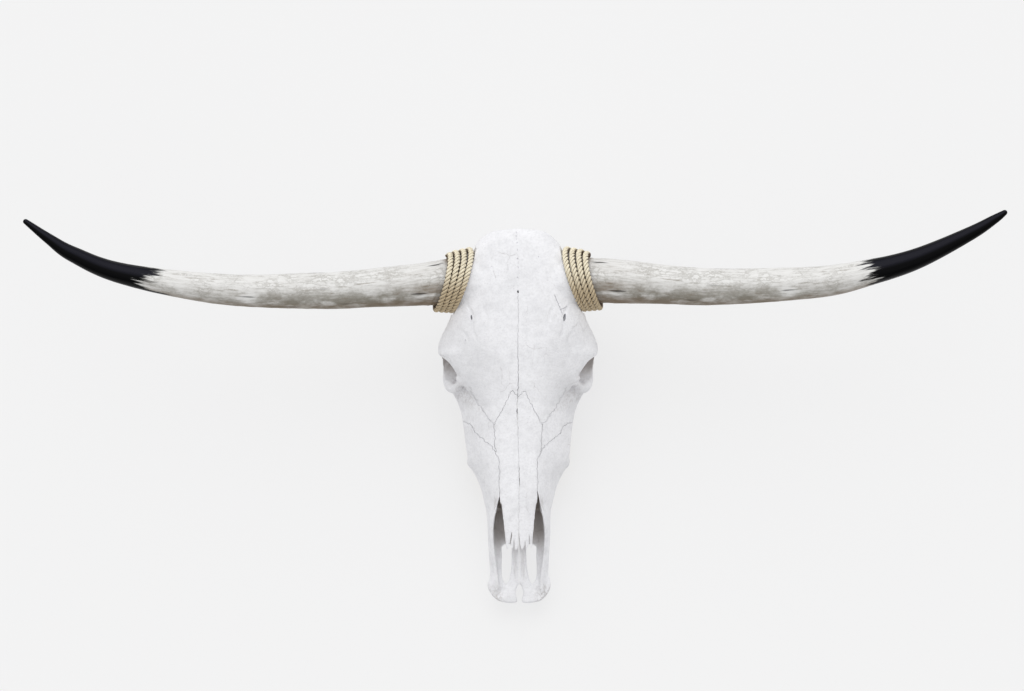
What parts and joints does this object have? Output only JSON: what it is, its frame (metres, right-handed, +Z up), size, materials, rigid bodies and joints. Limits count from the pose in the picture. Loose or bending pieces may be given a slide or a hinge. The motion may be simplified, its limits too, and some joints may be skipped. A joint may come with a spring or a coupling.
{
  "type": "longhorn steer skull",
  "caption": "Bleached cattle skull with long spreading horns and rope bound round the horn roots, lying face up as a display piece.",
  "frame": {"origin": "middle of the skull's footprint box, on the floor that it lies on", "axes": "+Z up, -Y towards the nose, +Y towards the poll, +X towards the tip of the right-hand horn as seen in the picture"},
  "size_m": [1.4582, 0.5582, 0.2947],
  "materials": {
    "bone": "bleached dry bone, matt",
    "horn": "horn sheath, satin, cream streaked with brown and black at the tips",
    "rope": "twisted natural fibre rope, matt"
  },
  "bodies": {
    "root": {"cranium": "bone", "nasal_bone_left": "bone", "nasal_bone_right": "bone", "maxilla_left": "bone", "maxilla_right": "bone", "incisive_bone_left": "bone", "incisive_bone_right": "bone", "horn_left": "horn", "horn_right": "horn", "rope_wrap_left": "rope", "rope_wrap_right": "rope"}
  },
  "joints": []
}
